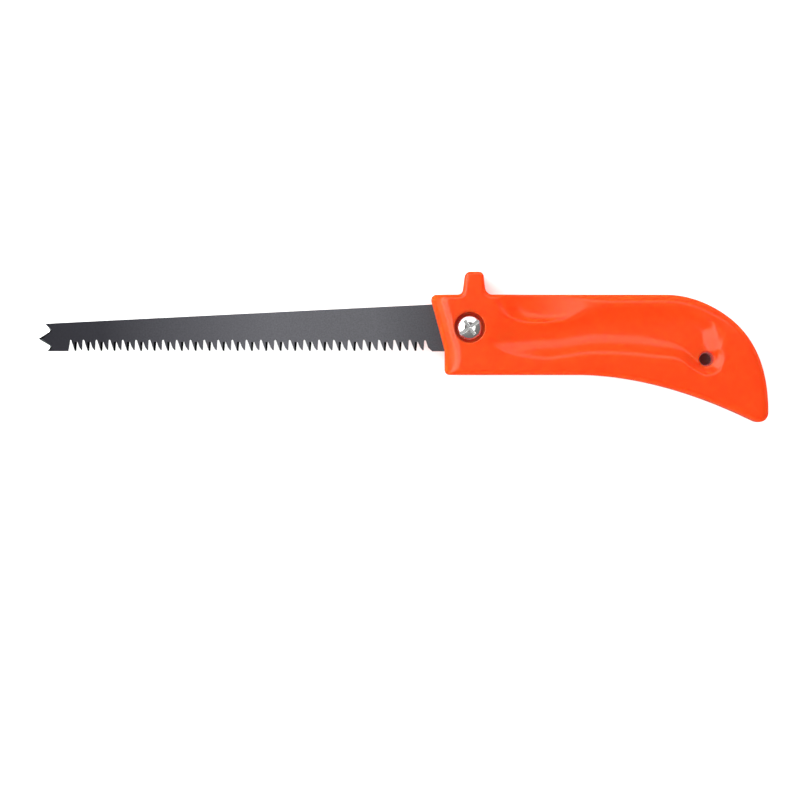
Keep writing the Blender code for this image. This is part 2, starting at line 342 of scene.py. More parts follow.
print("finger hollow, mm:", np.ptp(FINGER_LOOP, axis=0).round(1))

# %% Depth of the finger hollow
FINGER_DEPTH = 3.6
HOLE_DEPTH = 2.6


def wall(distance, width, softness):
    """Depth, from 0 at the lip to 1 at the floor, with the lip rounded over a few tenths."""
    away = (distance + np.sqrt(distance**2 + softness**2)) / 2
    t = np.clip(away / width, 0.0, 1.0)
    return 1 - (1 - t)**2


def finger_hollow(x, y):
    """Two walls, each steepest at its lip; round the hanging hole the lower one is tighter."""
    to_low, to_high = chain_distance(x, y, LOWER_LIP), chain_distance(x, y, UPPER_LIP)
    beyond = np.where(is_inside(x, y, FINGER_LOOP), 0.0, 2 * np.minimum(to_low, to_high))
    start, far = ramp(x, 6.0, 30.0), ramp(x, 70.0, 98.0)
    low_width, low_softness = 3.9 + 5.9 * start - 6.0 * far, 1.3 - 0.4 * far
    high_width, high_softness = 9.8 - 2.8 * far, 1.9
    low = wall(to_low - beyond, low_width, low_softness)
    high = wall(to_high - beyond, high_width, high_softness)
    blend = 0.1
    depth = (low + high - np.sqrt((low - high)**2 + blend**2)) / 2
    deepest = FINGER_DEPTH + (HOLE_DEPTH - FINGER_DEPTH) * far
    return deepest * ramp(x, 2.0, 34.0) * np.maximum(depth, 0)


# %% [markdown]
# ### The thumb's scoop
# Behind the stop, the thumb presses on the side of the handle, and the mould scoops it out there: round
# towards the stop, and with a long tail and a level floor towards the butt. Powers of the distance from its
# middle give that shape, with a higher power where the floor is more level.

# %% Thumb scoop
SCOOP = Vector((25.5, 14.5))
SCOOP_DEPTH = 3.3
SCOOP_TO_STOP = 15.0
SCOOP_TO_BUTT = 31.5
SCOOP_DOWN = 13.5


def thumb_scoop(x, y):
    """Depth of the scoop below the flat side, negative where it takes nothing off."""
    across = (x - SCOOP.x) / np.where(x < SCOOP.x, SCOOP_TO_STOP, SCOOP_TO_BUTT)
    down = np.abs(y - SCOOP.y) / SCOOP_DOWN
    bowl = np.abs(across) ** np.where(across < 0, 2.0, 1.5)
    return SCOOP_DEPTH * (1 - bowl - down ** (2 + 6 * ramp(x, 14.0, 32.0)))


# %% [markdown]
# ### The bevel on the front end
# The front end, where the blade comes out, is bevelled on both sides so that the handle doesn't catch on
# the edge of the hole being cut. The bevel narrows to nothing round the lower corner.

# %% Front bevel
BEVEL_WIDTH = 4.9
BEVEL_ANGLE = radians(43.0)
BEVEL_CORNER_Y = -12.3
BEVEL_CORNER_DROP = 7.2
FRONT_LEAN = 0.97               # cosine of the front end's lean, to measure at right angles to it


def front_bevel(x, y):
    """How far a place is behind the front's bevel: negative where the bevel takes something off."""
    edge = np.interp(y, [LEAN_LOW_Y, LEAN_HIGH_Y], [FRONT_LOW_X, FRONT_HIGH_X])
    round_corner = np.clip((BEVEL_CORNER_Y - y) / BEVEL_CORNER_DROP, 0.0, 1.0)
    return FRONT_LEAN * (x - edge) - BEVEL_WIDTH * np.sqrt(1 - round_corner**2)


# %% [markdown]
# ### Crown, sink and edges
# Three small things keep the sides from looking like flat card. Behind the block round the screw they are
# crowned. Thick plastic shrinks as it cools and leaves slow waves. The edge's rounding grows along the
# back, where the palm lies, and is tight on the thumb stop.

# %% Crown, sink and edge radius
CROWN_DROP = 1.0
CROWN_WIDTH = 11.0
SINK = 0.035
ROLL = 0.02
EDGE_R = 2.0
STOP_EDGE_R = 1.25
BACK_EDGE_GROWTH = 1.8
BUTT_EDGE_GROWTH = 0.3


def crown(x, inset):
    """Behind the flat block round the screw, the sides fall away a little towards the edges."""
    return CROWN_DROP * ramp(x, 31.0, 38.0) * (1 - np.clip(inset / CROWN_WIDTH, 0, 1))**2


def sink(x, y):
    """Slow waves, a few hundredths deep."""
    shrunk = SINK * np.sin(x / 4.1 + 0.6 * np.sin(y / 3.0)) * np.sin(y / 5.3 + x / 17.0)
    return shrunk + ROLL * np.sin(x / 9.0 + 1.3)


def edge_radius(x, y):
    """Radius of the rounding between a flat side and the edge wall, round the outline."""
    stop = ramp(y, BACK_Y - 1.0, BACK_Y + 2.5) * (1 - ramp(x, 10.0, 14.0))
    back = ramp(y, -8.0, 2.0) * ramp(x, 30.0, 52.0)
    butt = ramp(x, 95.0, 108.0) * ramp(y, -33.0, -26.0)
    radius = EDGE_R + BACK_EDGE_GROWTH * back * (1 - butt) + BUTT_EDGE_GROWTH * butt
    return radius + (STOP_EDGE_R - radius) * stop


# %% [markdown]
# ### The whole surface as one formula
# The handle is what lies inside all of four limits: its flat side, its edge wall, the front bevel and the
# thumb's scoop. Taking the largest of the four distances would give sharp edges, so each pair is joined by
# a maximum whose corner is rounded with a radius. The edge wall leans a little, for the mould to open.

# %% Four limits, rounded where they meet
DRAFT = 0.014
LIP_ROUND = 0.9
BEVEL_ROUND = 1.1
CREST = 0.02                    # the waves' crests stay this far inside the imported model
SCOOP_LEAN = 0.93               # cosine of the scoop's usual lean, to measure at right angles to it


def rounded_max(a, b, radius):
    """The larger of two distances, with the corner between them rounded inwards."""
    u = np.maximum(radius + a, 0)
    v = np.maximum(radius + b, 0)
    return np.minimum(-radius, np.maximum(a, b)) + np.hypot(u, v)


def plan(x, y):
    """What the formula needs to know of a place in the plan, whatever the height."""
    inset = depth_inside(x, y, OUTLINE)
    half = MIDDLE - CREST - finger_hollow(x, y) - crown(x, inset) - sink(x, y) * ramp(x, 8.0, 20.0)
    return inset, half, MIDDLE - thumb_scoop(x, y), front_bevel(x, y), edge_radius(x, y)


def outside(place, height):
    """Roughly how far a point is outside the handle: zero on its surface, negative within."""
    inset, half, scoop, behind, radius = place
    bevel = (height - MIDDLE) * cos(BEVEL_ANGLE) - behind * sin(BEVEL_ANGLE)
    side = rounded_max(height - half, bevel, BEVEL_ROUND)
    body = rounded_max(side, DRAFT * height - inset, radius)
    return rounded_max(body, SCOOP_LEAN * (height - scoop), LIP_ROUND)


# %% [markdown]
# Each point of the slab then slides down the formula's slope until it is on the surface. Smoothing the mesh
# between the rounds keeps its quads even, and the last round puts every point back on the formula.

# %% Settle points on the surface
def settle(points, rounds):
    """Move points along the steepest way onto the surface. Both sides of the handle are alike."""
    step = 0.01
    least_slope = 0.05
    longest_move = 1.0
    for _ in range(rounds):
        x, y, z = points.T
        height = np.abs(z - MIDDLE)
        here = plan(x, y)
        value = outside(here, height)
        slope = np.stack([
            outside(plan(x + step, y), height) - value,
            outside(plan(x, y + step), height) - value,
            (outside(here, height + step) - value) * np.sign(z - MIDDLE),
        ], axis=1) / step
        steepness = np.maximum((slope**2).sum(axis=1), least_slope)
        points = points - np.clip(value / steepness, -longest_move, longest_move)[:, None] * slope
    return points


# %% Remesh a slab and settle it
VOXEL = 0.5


def move_to(mesh, points):
    mesh.vertices.foreach_set("co", points.astype(np.float32).ravel())
    mesh.update()


def relax(mesh, factor):
    bm = bmesh.new()
    bm.from_mesh(mesh)
    bmesh.ops.smooth_vert(bm, verts=bm.verts, factor=factor,
                          use_axis_x=True, use_axis_y=True, use_axis_z=True)
    bm.to_mesh(mesh)
    bm.free()


def carve_handle():
    handle = put(prism([Vector(p) for p in OUTLINE], 0, THICKNESS), "moulded_handle")
    remesh = handle.modifiers.new("even_quads", 'REMESH')
    remesh.mode = 'VOXEL'
    remesh.voxel_size = VOXEL
    apply_modifiers(handle)
    points = settle(points_of(handle.data), 3)
    for _ in range(2):
        move_to(handle.data, points)
        relax(handle.data, 0.5)
        points = settle(points_of(handle.data), 2)
    move_to(handle.data, points)
    return handle


handle = carve_handle()
print("carved:", len(handle.data.vertices), "points")

# %% [markdown]
# ## Holes in the handle
# The screw's seat, the nut's pocket, the blade's slot and the hanging hole are cut with shapes whose mouths
# flare out, so each rim comes out rounded as it does from a mould.

# %% Cutters for the screw and the nut
GAP = 0.3                       # clearance round the pieces that the handle holds
SEAT_R = 6.3
SEAT_FLOOR = washer_low.z / MM - GAP
SCREW_HOLE_R = 2.8
NUT_FLATS = 8.0
POCKET_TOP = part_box("clamp_nut")[1].z / MM + GAP
RIM = 0.45
BEYOND = 3.0


def flare(radius, surface, side, rim=RIM):
    """Mouth of a round hole at a flat side: (radius, height) points from deep to beyond the surface."""
    steps = 5
    arc = [pi / 2 * k / steps for k in range(steps + 1)]
    mouth = [(radius + rim * (1 - cos(a)), surface - side * rim * (1 - sin(a))) for a in arc]
    return mouth + [(radius + rim + 0.05, surface + side * BEYOND)]


def seat_cutter():
    profile = [(0.0, SEAT_FLOOR), (SEAT_R, SEAT_FLOOR)] + flare(SEAT_R, THICKNESS, 1)
    return turned(profile + [(0.0, THICKNESS + BEYOND)], 96)


def pocket_cutter():
    """A hexagon is a shape turned in six steps."""
    corner = (NUT_FLATS / 2 + GAP) / cos(pi / 6)
    mouth = [(r, THICKNESS - h) for r, h in flare(corner, THICKNESS, 1)]
    return turned([(0.0, -BEYOND)] + mouth[::-1] + [(corner, POCKET_TOP), (0.0, POCKET_TOP)], 6)


print(f"seat floor at {SEAT_FLOOR:.2f} mm, nut pocket up to {POCKET_TOP:.2f} mm")

# %% [markdown]
# The hanging hole was made by two pins that met at the middle, so it tapers both ways. An ejector pin,
# which pushed the handle out of its mould, left a shallow round mark beside it.

# %% Cutters for the slot, the hanging hole and the ejector's mark
SLOT = 1.6
TANG_END_X = (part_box("blade")[1].x - AXIS.x) / MM
TANG_LOW_Y = -9.7
TANG_HIGH_Y = 9.7
HOLE_THROAT_R = 2.35
HOLE_MOUTH_R = 3.05
WITNESS = Vector((105.7, -16.2))
WITNESS_R = 3.1
WITNESS_DEPTH = 0.33


def slot_cutter():
    low = MIDDLE - SLOT / 2
    edge = [(-30.0, TANG_LOW_Y - GAP), (TANG_END_X + GAP, TANG_LOW_Y - GAP),
            (TANG_END_X + GAP, TANG_HIGH_Y + GAP), (-30.0, TANG_HIGH_Y + GAP)]
    return prism(edge, low, low + SLOT)


def hole_cutter():
    """Its two halves are alike and taper to the middle of the handle."""
    upper = flare(HOLE_MOUTH_R, THICKNESS - HOLE_DEPTH, 1, 0.5)
    lower = [(r, THICKNESS - h) for r, h in upper]
    profile = [(0.0, -BEYOND)] + lower[::-1] + [(HOLE_THROAT_R, MIDDLE)] + upper
    return turned(profile + [(0.0, THICKNESS + BEYOND)], 64, HOLE.x, HOLE.y)


def witness_cutter():
    """The pin stood a little askew, so only one side of its mark shows."""
    bm = prism(circle(WITNESS_R, 64), 0.0, 2.0)
    tilt = Matrix.Rotation(radians(1.6), 4, Vector((1.0, 0.75, 0.0)))
    place = Matrix.Translation((*WITNESS, THICKNESS - WITNESS_DEPTH))
    bmesh.ops.transform(bm, matrix=place @ tilt, verts=bm.verts)
    return bm


# %% [markdown]
# The cutters that overlap are joined first, so that the dense handle is cut only once. Then the handle
# rides on the handle's body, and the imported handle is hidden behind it.

# %% Cut the handle
def cut_handle(handle):
    cutter = put(seat_cutter(), "seat")
    more = [
        put(prism(circle(SCREW_HOLE_R, 48), 1.0, SEAT_FLOOR + 1.0), "screw_hole"),
        put(pocket_cutter(), "nut_pocket"),
        put(slot_cutter(), "blade_slot"),
    ]
    combine(cutter, more, 'UNION')
    alone = [put(hole_cutter(), "hanging_hole"), put(witness_cutter(), "witness")]
    combine(handle, [cutter] + alone, 'DIFFERENCE')


cut_handle(handle)
finish_piece(handle, 32)
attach(handle, "handle_body")
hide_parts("handle")

# %% [markdown]
# ## The blade
# Punched from 1 mm strip, then ground: every other tooth is bevelled from the near side and the next from
# the far side, and the point is bevelled from the near side alone. The outline is drawn once. A bevel is
# made by drawing the edge back on one side only, so the wall between the two sides leans.

# %% Teeth
BLADE = 1.0
BLADE_LOW = MIDDLE - BLADE / 2
GULLET_Y = -5.1
SMALL_GULLET_Y = GULLET_Y - 0.7
TOOTH_Y = -9.5
FIRST_GULLET_X = -164.0
TOOTH_PAIRS = 25
PAIR_PITCH = 5.30
PITCH_GROWTH = 0.0446           # the teeth get coarser towards the handle
GROUND = 1.0
TIP_GROUND = 0.3 * GROUND


def tooth_pair(x, pitch):
    """Two teeth as (x, y, set back on the near side, set back on the far side)."""
    return [
        (x, GULLET_Y + 0.2, 0, 0),
        (x + 0.06 * pitch, GULLET_Y - 0.15, 0, 0),
        (x + 0.32 * pitch, TOOTH_Y, 0, 0),
        (x + 0.43 * pitch, TOOTH_Y, 0.1 * pitch, 0),
        (x + 0.49 * pitch, SMALL_GULLET_Y, GROUND, 0),
        (x + 0.525 * pitch, SMALL_GULLET_Y, 0, 0),
        (x + 0.68 * pitch, TOOTH_Y + 1.4, 0, 0),
        (x + 0.87 * pitch, TOOTH_Y + 0.25, 0, TIP_GROUND),
        (x + 0.90 * pitch, TOOTH_Y + 0.25, 0, TIP_GROUND),
        (x + 0.94 * pitch, GULLET_Y - 0.15, 0, GROUND),
    ]


print(f"pitch of a pair: {PAIR_PITCH:.2f} to {PAIR_PITCH + (TOOTH_PAIRS - 1) * PITCH_GROWTH:.2f} mm")

# %% [markdown]
# The teeth run up to the handle. Behind them is the tang, with a slot that is open at its end, so the blade
# can be drawn out without taking the screw off. The spine runs back to the point, whose two notches leave a
# small spear with a bevel all round.

# %% Blade outline
POINT_GROUND = -0.75            # negative: drawn back towards the handle
SPIKE_GROUND = -0.35


def tang_points():
    """The tang's end and its open slot, from the belly up to the spine."""
    points = [(TANG_END_X - 1.5, TANG_LOW_Y), (TANG_END_X, TANG_LOW_Y + 1.5), (TANG_END_X, -SCREW_HOLE_R)]
    arc = 16
    for i in range(arc + 1):
        angle = -pi / 2 - pi * i / arc
        points.append((SCREW_HOLE_R * cos(angle), SCREW_HOLE_R * sin(angle)))
    points += [(TANG_END_X, SCREW_HOLE_R), (TANG_END_X, TANG_HIGH_Y - 1.5), (TANG_END_X - 1.5, TANG_HIGH_Y)]
    return [(x, y, 0, 0) for x, y in points]


def point_points():
    """The point, from its upper spike to its lower one."""
    notches = [[(-172.9, -0.2), (-172.45, -0.95), (-172.75, -1.6)],
               [(-172.75, -7.25), (-172.45, -7.85), (-172.75, -8.55)]]
    upper, lower = [[(x, y, POINT_GROUND, 0) for x, y in notch] for notch in notches]
    tip = (POINT_X, -4.53, 2.2 * POINT_GROUND, 0)
    return [(-174.65, 1.7, SPIKE_GROUND, 0), *upper, tip, *lower, (-173.8, -9.67, SPIKE_GROUND, 0)]


def blade_points():
    """Round the blade: teeth, tang, spine and point."""
    x = FIRST_GULLET_X
    pitch = PAIR_PITCH
    points = [(x - 0.95, -9.6, 0, 0), (x - 0.2, GULLET_Y, 0, 0)]
    for _ in range(TOOTH_PAIRS):
        points += tooth_pair(x, pitch)
        x += pitch
        pitch += PITCH_GROWTH
    points += [(x + 0.2, GULLET_Y, 0, 0), (x + 1.2, -8.2, 0, 0), (x + 2.9, TANG_LOW_Y, 0, 0)]
    return points + tang_points() + [(-14.2, TANG_HIGH_Y, 0, 0)] + point_points()


# %% [markdown]
# Ground faces are brighter or darker than the strip's coated sides: all but one are painted black, a painted
# dark reflection, and the point's lower bevel keeps the pale colour of bare steel. They are the faces that
# lean, so they are found by their slope and marked with an attribute, which the steel's material reads.

# %% Make the blade and mark what is ground
def make_blade():
    """Draw the near side's points back by one amount and the far side's by another."""
    outline = blade_points()
    bm = prism([p[:2] for p in outline], BLADE_LOW, BLADE_LOW + BLADE)
    bm.verts.ensure_lookup_table()
    for vert, (_, _, near, far) in zip(bm.verts[:len(outline)], outline):
        above = next(e.other_vert(vert) for e in vert.link_edges if e.other_vert(vert).co.z > MIDDLE)
        above.co.x -= near
        vert.co.x -= far
    return put(bm, "ground_blade")


def mark_ground_faces_for_painted_reflection(blade):
    """1 on a ground face, painted black as a painted dark reflection, and -1 on the point's lower bevel,
    which keeps bare steel's pale colour.
    """
    ground = blade.data.attributes.new("ground", 'FLOAT', 'FACE')
    for face in blade.data.polygons:
        leans = 0.05 < abs(face.normal.z) < 0.95
        bright = face.center.x < -170.0 and face.normal.y < 0
        ground.data[face.index].value = 0.0 if not leans else -1.0 if bright else 1.0


blade = make_blade()
mark_ground_faces_for_painted_reflection(blade)
finish_piece(blade, 15)
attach(blade, "blade_body")
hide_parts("blade")

# %% [markdown]
# ## The clamp screw
# An M5 pan head with a combined recess: a slot right across, crossed by a shorter arm, with a cone at the
# middle where the driver's tip goes. The thread is a small profile spun down a helix, a turn at a time, and
# then trimmed to length by keeping only what lies in a chamfered rod.

# %% Thread
SCREW_R = 2.5
SCREW_LENGTH = 16.0
HEAD_HEIGHT = 3.7
PITCH = 0.8
THREAD_DEPTH = 0.61 * PITCH
HEAD_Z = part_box("clamp_screw")[1].z / MM - HEAD_HEIGHT


def threaded_rod(low, high, growth=0.0):
    """A closed rod with an ISO thread, somewhat longer than asked at both ends."""
    turns = int((high - low) / PITCH) + 4
    steps = 36
    root = SCREW_R - THREAD_DEPTH + growth
    crest = SCREW_R + growth
    start = low - 2 * PITCH
    profile = [(root, 0.0), (root, 0.2), (crest, 0.45), (crest, 0.55), (root, PITCH)]
    bm = bmesh.new()
    points = [bm.verts.new((radius, 0.0, start + height)) for radius, height in profile]
    edges = [bm.edges.new(pair) for pair in zip(points, points[1:])]
    bmesh.ops.spin(bm, geom=points + edges, cent=(0, 0, 0), axis=(0, 0, 1), angle=2 * pi * turns,
                   steps=steps * turns, dvec=(0, 0, PITCH / steps))
    bmesh.ops.remove_doubles(bm, verts=bm.verts, dist=0.01)
    bmesh.ops.holes_fill(bm, edges=[e for e in bm.edges if e.is_boundary], sides=0)
    return bm


print(f"the head sits at {HEAD_Z:.2f} mm, the tip at {HEAD_Z - SCREW_LENGTH:.2f} mm")

# %% [markdown]
# The head is turned: an upright side, a rounded edge and a dome of larger radius, which meet where both
# slope alike. The recess arms have walls that lean in, because a punch has to come out of the metal again.

# %% Head and recess
HEAD_R = 4.75
HEAD_TOP = HEAD_Z + HEAD_HEIGHT
DOME_R = 11.0
DOME_EDGE = 0.4
DOME_JOIN = radians(23.3)
RECESS_TURN = radians(35.0)


def head_profile():
    """A flat underside, an upright side, a rounded edge and a dome."""
    join_z = HEAD_TOP - DOME_R * (1 - cos(DOME_JOIN))
    centre_z = join_z - DOME_EDGE * cos(DOME_JOIN)
    turns = [DOME_JOIN + (pi / 2 - DOME_JOIN) * k / 6 for k in range(7)]
    edge = [(HEAD_R - DOME_EDGE + DOME_EDGE * sin(a), centre_z + DOME_EDGE * cos(a))
            for a in turns[::-1]]
    slopes = [DOME_JOIN * k / 8 for k in range(7, -1, -1)]
    dome = [(DOME_R * sin(a), HEAD_TOP - DOME_R * (1 - cos(a))) for a in slopes]
    foot = 0.12
    return [(0.0, HEAD_Z), (HEAD_R - foot, HEAD_Z), (HEAD_R, HEAD_Z + foot)] + edge + dome


def recess_arm(name, turn, length, width_top, width_floor, depth):
    """A recess arm with walls that lean in towards its floor."""
    top = HEAD_TOP + 1.0
    floor = HEAD_TOP - depth
    bm = bmesh.new()
    bmesh.ops.create_cube(bm, size=1.0)
    for vert in bm.verts:
        high = vert.co.z > 0
        width = width_top if high else width_floor
        reach = length if high else length - 0.6
        vert.co = (vert.co.x * reach, vert.co.y * width, top if high else floor)
    bmesh.ops.rotate(bm, cent=(0, 0, 0), matrix=Matrix.Rotation(turn, 3, 'Z'), verts=bm.verts)
    return put(bm, name)


# %% Make the screw
CONE_R = 2.85
CONE_DEPTH = 1.9


def make_screw():
    """Head, trimmed thread, and the recess cut into both."""
    screw = put(turned(head_profile(), 72), "pan_head_screw")
    tip = HEAD_Z - SCREW_LENGTH
    rod = put(threaded_rod(tip, HEAD_Z), "thread")
    keep = [(0.0, tip), (SCREW_R - 0.7, tip), (SCREW_R + 0.1, tip + 0.7), (SCREW_R + 0.1, HEAD_Z + 0.4)]
    combine(rod, [put(turned(keep + [(0.0, HEAD_Z + 0.4)], 48), "keep")], 'INTERSECT')
    combine(screw, [rod], 'UNION')
    cone_top = HEAD_TOP + 0.2
    cuts = [
        recess_arm("slot_arm", RECESS_TURN, length=2 * HEAD_R + 2,
                   width_top=1.75, width_floor=1.2, depth=1.35),
        recess_arm("cross_arm", RECESS_TURN + pi / 2, length=7.4,
                   width_top=1.7, width_floor=1.2, depth=1.5),
        put(turned([(0.0, cone_top - CONE_DEPTH), (CONE_R, cone_top), (0.0, cone_top)], 32), "cone"),
    ]
    combine(screw, cuts, 'DIFFERENCE')
    return screw


screw = make_screw()
finish_piece(screw, 30)
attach(screw, "screw_body")
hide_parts("clamp_screw")

# %% [markdown]
# ## Washer and nut
# The washer is punched from sheet, so one edge of it is rolled over. The nut is a hexagon whose corners are
# turned to a cone on both ends, tapped with the same thread as the screw and a little looser.

# %% Washer and nut
def make_washer():
    low, high = washer_low.z / MM, washer_high.z / MM
    inner, outer, roll = 2.65, 5.0, 0.2
    ring = [(inner, low), (outer, low), (outer, high - roll), (outer - 0.3 * roll, high - 0.3 * roll),
            (outer - roll, high), (inner + 0.1, high), (inner, high - 0.1)]
    return put(turned(ring, 64), "plain_washer")


def make_nut():
    """A hexagon kept only where it overlaps a turned blank, and then tapped."""
    low, high = (corner.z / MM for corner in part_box("clamp_nut"))
    across = NUT_FLATS / 2
    corner = across / cos(pi / 6)
    nut = put(prism(circle(corner, 6), low, high), "hexagon_nut")
    face_inset = 0.15
    cone_height = (corner - across + face_inset) * tan(radians(30)) + 0.06
    blank = [(0.0, low), (across - face_inset, low), (corner + 0.1, low + cone_height),
             (corner + 0.1, high - cone_height), (across - face_inset, high), (0.0, high)]
    combine(nut, [put(turned(blank, 72), "blank")], 'INTERSECT')
    combine(nut, [put(threaded_rod(low - 1, high + 1, 0.1), "tap")], 'DIFFERENCE')
    return nut


washer = make_washer()
nut = make_nut()
finish_piece(washer, 40)
finish_piece(nut, 30)
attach(washer, "washer_body")
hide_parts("washer")
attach(nut, "handle_body")
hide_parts("clamp_nut")

# %% [markdown]
# ## Finishes
# Colours are given as the hex values that a paint chart has, and one function turns them to the linear
# light that the shader wants. One more function adds a node with its settings and its links.

# %% Material helpers
def linear(hexcode):
    """sRGB hex to linear RGBA."""
    channels = [int(hexcode[i:i + 2], 16) / 255 for i in (1, 3, 5)]
    return (*[c / 12.92 if c <= 0.04045 else ((c + 0.055) / 1.055)**2.4 for c in channels], 1.0)


def add(tree, kind, settings=None, inputs=None):
    """Add a node, set its properties, and set or link its inputs."""
    node = tree.nodes.new(kind)
    for name, value in (settings or {}).items():
        setattr(node, name, value)
    for name, value in (inputs or {}).items():
        if isinstance(value, bpy.types.NodeSocket):
            tree.links.new(value, node.inputs[name])
        else:
            node.inputs[name].default_value = value
    return node


def new_material(name, **constants):
    """A material with its Principled shader's constants set; returns it with its tree and shader."""
    material = bpy.data.materials.new(name)
    material.use_nodes = True
    shader = material.node_tree.nodes["Principled BSDF"]
    for socket, value in constants.items():
        shader.inputs[socket.replace("_", " ")].default_value = value
    return material, material.node_tree, shader


def colour_ramp(tree, factor, stops):
    node = add(tree, "ShaderNodeValToRGB", inputs={"Fac": factor})
    while len(node.color_ramp.elements) < len(stops):
        node.color_ramp.elements.new(0.5)
    for element, (place, colour) in zip(node.color_ramp.elements, stops):
        element.position = place
        element.color = colour
    return node.outputs["Color"]


# %% [markdown]
# ### Moulded polypropylene
# Orange PP, injection moulded in a polished steel mould: glossy, but the skin has a faint orange peel, and
# the pigment flowed unevenly by a percent or two. To the eye it glows a little redder where it curves away,
# because light travels a short way inside it, so it has a shallow scatter in red. Its index of refraction
# is 1.49. Two noises make the peel, one about 1.5 mm across and one about 0.3 mm.

# %% Orange plastic
PEEL_SIZE = 0.0015
GRAIN_SIZE = 0.0003
FLOW_SIZE = 0.030


def orange_plastic():
    material, tree, shader = new_material(
        "moulded_pp_orange", IOR=1.49, Specular_IOR_Level=0.3, Roughness=0.19,
        Subsurface_Weight=1.0, Subsurface_Scale=0.012, Subsurface_Radius=(1.0, 0.08, 0.05))
    place = add(tree, "ShaderNodeTexCoord").outputs["Object"]
    flow = add(tree, "ShaderNodeTexNoise", inputs={"Vector": place, "Scale": 1 / FLOW_SIZE, "Detail": 3.0})
    colour = colour_ramp(tree, flow.outputs["Fac"], [(0.3, linear("#ff4e12")), (0.7, linear("#ff5214"))])
    tree.links.new(colour, shader.inputs["Base Color"])
    peel = add(tree, "ShaderNodeTexNoise", inputs={"Vector": place, "Scale": 1 / PEEL_SIZE, "Detail": 2.0})
    grain = add(tree, "ShaderNodeTexNoise", inputs={"Vector": place, "Scale": 1 / GRAIN_SIZE, "Detail": 1.0})
    fine = add(tree, "ShaderNodeBump", inputs={
        "Height": grain.outputs["Fac"], "Strength": 0.15, "Distance": 0.00001})
    skin = add(tree, "ShaderNodeBump", inputs={
        "Height": peel.outputs["Fac"], "Strength": 0.3, "Distance": 0.00003,
        "Normal": fine.outputs["Normal"]})
    tree.links.new(skin.outputs["Normal"], shader.inputs["Normal"])
    return material


handle.data.materials.clear()
handle.data.materials.append(orange_plastic())
print("handle:", handle.data.materials[0].name)

# %% [markdown]
# ### Phosphated carbon steel
# The blade's strip was hardened and given a dark phosphate: a satin grey-black whose crystals scatter
# light. Its colour is paler in the middle of the blade and darker at the point and at the handle: a painted
# highlight, standing in for the reflection of the light overhead. Fine lines run across it from the strip's
# grinding. Where a bevel was ground afterwards, the steel is bare, but it is painted black, a painted dark
# reflection of the room; only the point's lower bevel keeps the pale colour of bare steel.

# %% Colours of the steel
CRYSTAL_SIZE = 0.0006
COLOUR_A, COLOUR_B, MIXED_COLOUR = 6, 7, 2      # the Mix node has sockets of one name for each data type


def coat_colour_with_painted_highlight(tree, place, crystals):
    """The coat's colour, speckled by its crystals, with a painted highlight along the blade: paler in the
    middle, darker at the point and the handle.
    """
    along = add(tree, "ShaderNodeSeparateXYZ", inputs={"Vector": place}).outputs["X"]
    share = add(tree, "ShaderNodeMapRange", inputs={
        "Value": along, "From Min": AXIS.x + POINT_X * MM, "From Max": AXIS.x}).outputs["Result"]
    # Painted highlight: this ramp makes the middle of the blade paler and the point and the handle darker.
    coat_with_painted_highlight = colour_ramp(tree, share, [
        (0.0, linear("#242428")), (0.15, linear("#2a2a2e")), (0.4, linear("#48484c")),
        (0.55, linear("#555559")), (0.78, linear("#5a5a5e")), (1.0, linear("#414145"))])
    speckle = add(tree, "ShaderNodeMapRange", inputs={
        "Value": crystals, "From Min": 0.25, "From Max": 0.75, "To Min": 0.85, "To Max": 1.15})
    return add(tree, "ShaderNodeVectorMath", {"operation": 'SCALE'},
               {"Vector": coat_with_painted_highlight, "Scale": speckle.outputs["Result"]}).outputs["Vector"]


def with_painted_reflection_on_ground_faces(tree, coat_with_painted_highlight):
    """The coat's colour, but on faces marked as ground: painted black as a painted dark reflection, or bare
    steel's pale colour on the point's lower bevel.
    """
    ground = add(tree, "ShaderNodeAttribute", {"attribute_name": "ground"}).outputs["Fac"]
    brightness = add(tree, "ShaderNodeMapRange", inputs={"Value": ground, "From Min": -1.0}).outputs["Result"]
    # Painted dark reflection: ground faces get near-black; the point's lower bevel gets bare steel's pale
    # colour.
    bare_steel_or_painted_dark_reflection = colour_ramp(tree, brightness, [(0.0, linear("#8c9698")), (1.0, linear("#020202"))])
    is_ground = add(tree, "ShaderNodeMath", {"operation": 'ABSOLUTE'}, {0: ground}).outputs["Value"]
    return add(tree, "ShaderNodeMix", {"data_type": 'RGBA'},
               {"Factor": is_ground, COLOUR_A: coat_with_painted_highlight, COLOUR_B: bare_steel_or_painted_dark_reflection}).outputs[MIXED_COLOUR]


# %% Dark steel
def dark_steel():
    material, tree, shader = new_material("phosphated_carbon_steel", Metallic=1.0)
    place = add(tree, "ShaderNodeTexCoord").outputs["Object"]
    crystals = add(tree, "ShaderNodeTexNoise", inputs={
        "Vector": place, "Scale": 1 / CRYSTAL_SIZE, "Detail": 3.0}).outputs["Fac"]
    colour = with_painted_reflection_on_ground_faces(tree, coat_colour_with_painted_highlight(tree, place, crystals))
    tree.links.new(colour, shader.inputs["Base Color"])
    rough = add(tree, "ShaderNodeMapRange", inputs={"Value": crystals, "To Min": 0.36, "To Max": 0.48})
    tree.links.new(rough.outputs["Result"], shader.inputs["Roughness"])
    stretched = add(tree, "ShaderNodeMapping", inputs={"Vector": place, "Scale": (2500.0, 60.0, 1000.0)})
    lines = add(tree, "ShaderNodeTexNoise", inputs={
        "Vector": stretched.outputs["Vector"], "Scale": 1.0, "Detail": 2.0})
    bump = add(tree, "ShaderNodeBump", inputs={
        "Height": lines.outputs["Fac"], "Strength": 0.2, "Distance": 0.00001})
    tree.links.new(bump.outputs["Normal"], shader.inputs["Normal"])
    return material


blade.data.materials.clear()
blade.data.materials.append(dark_steel())
print("blade:", blade.data.materials[0].name)

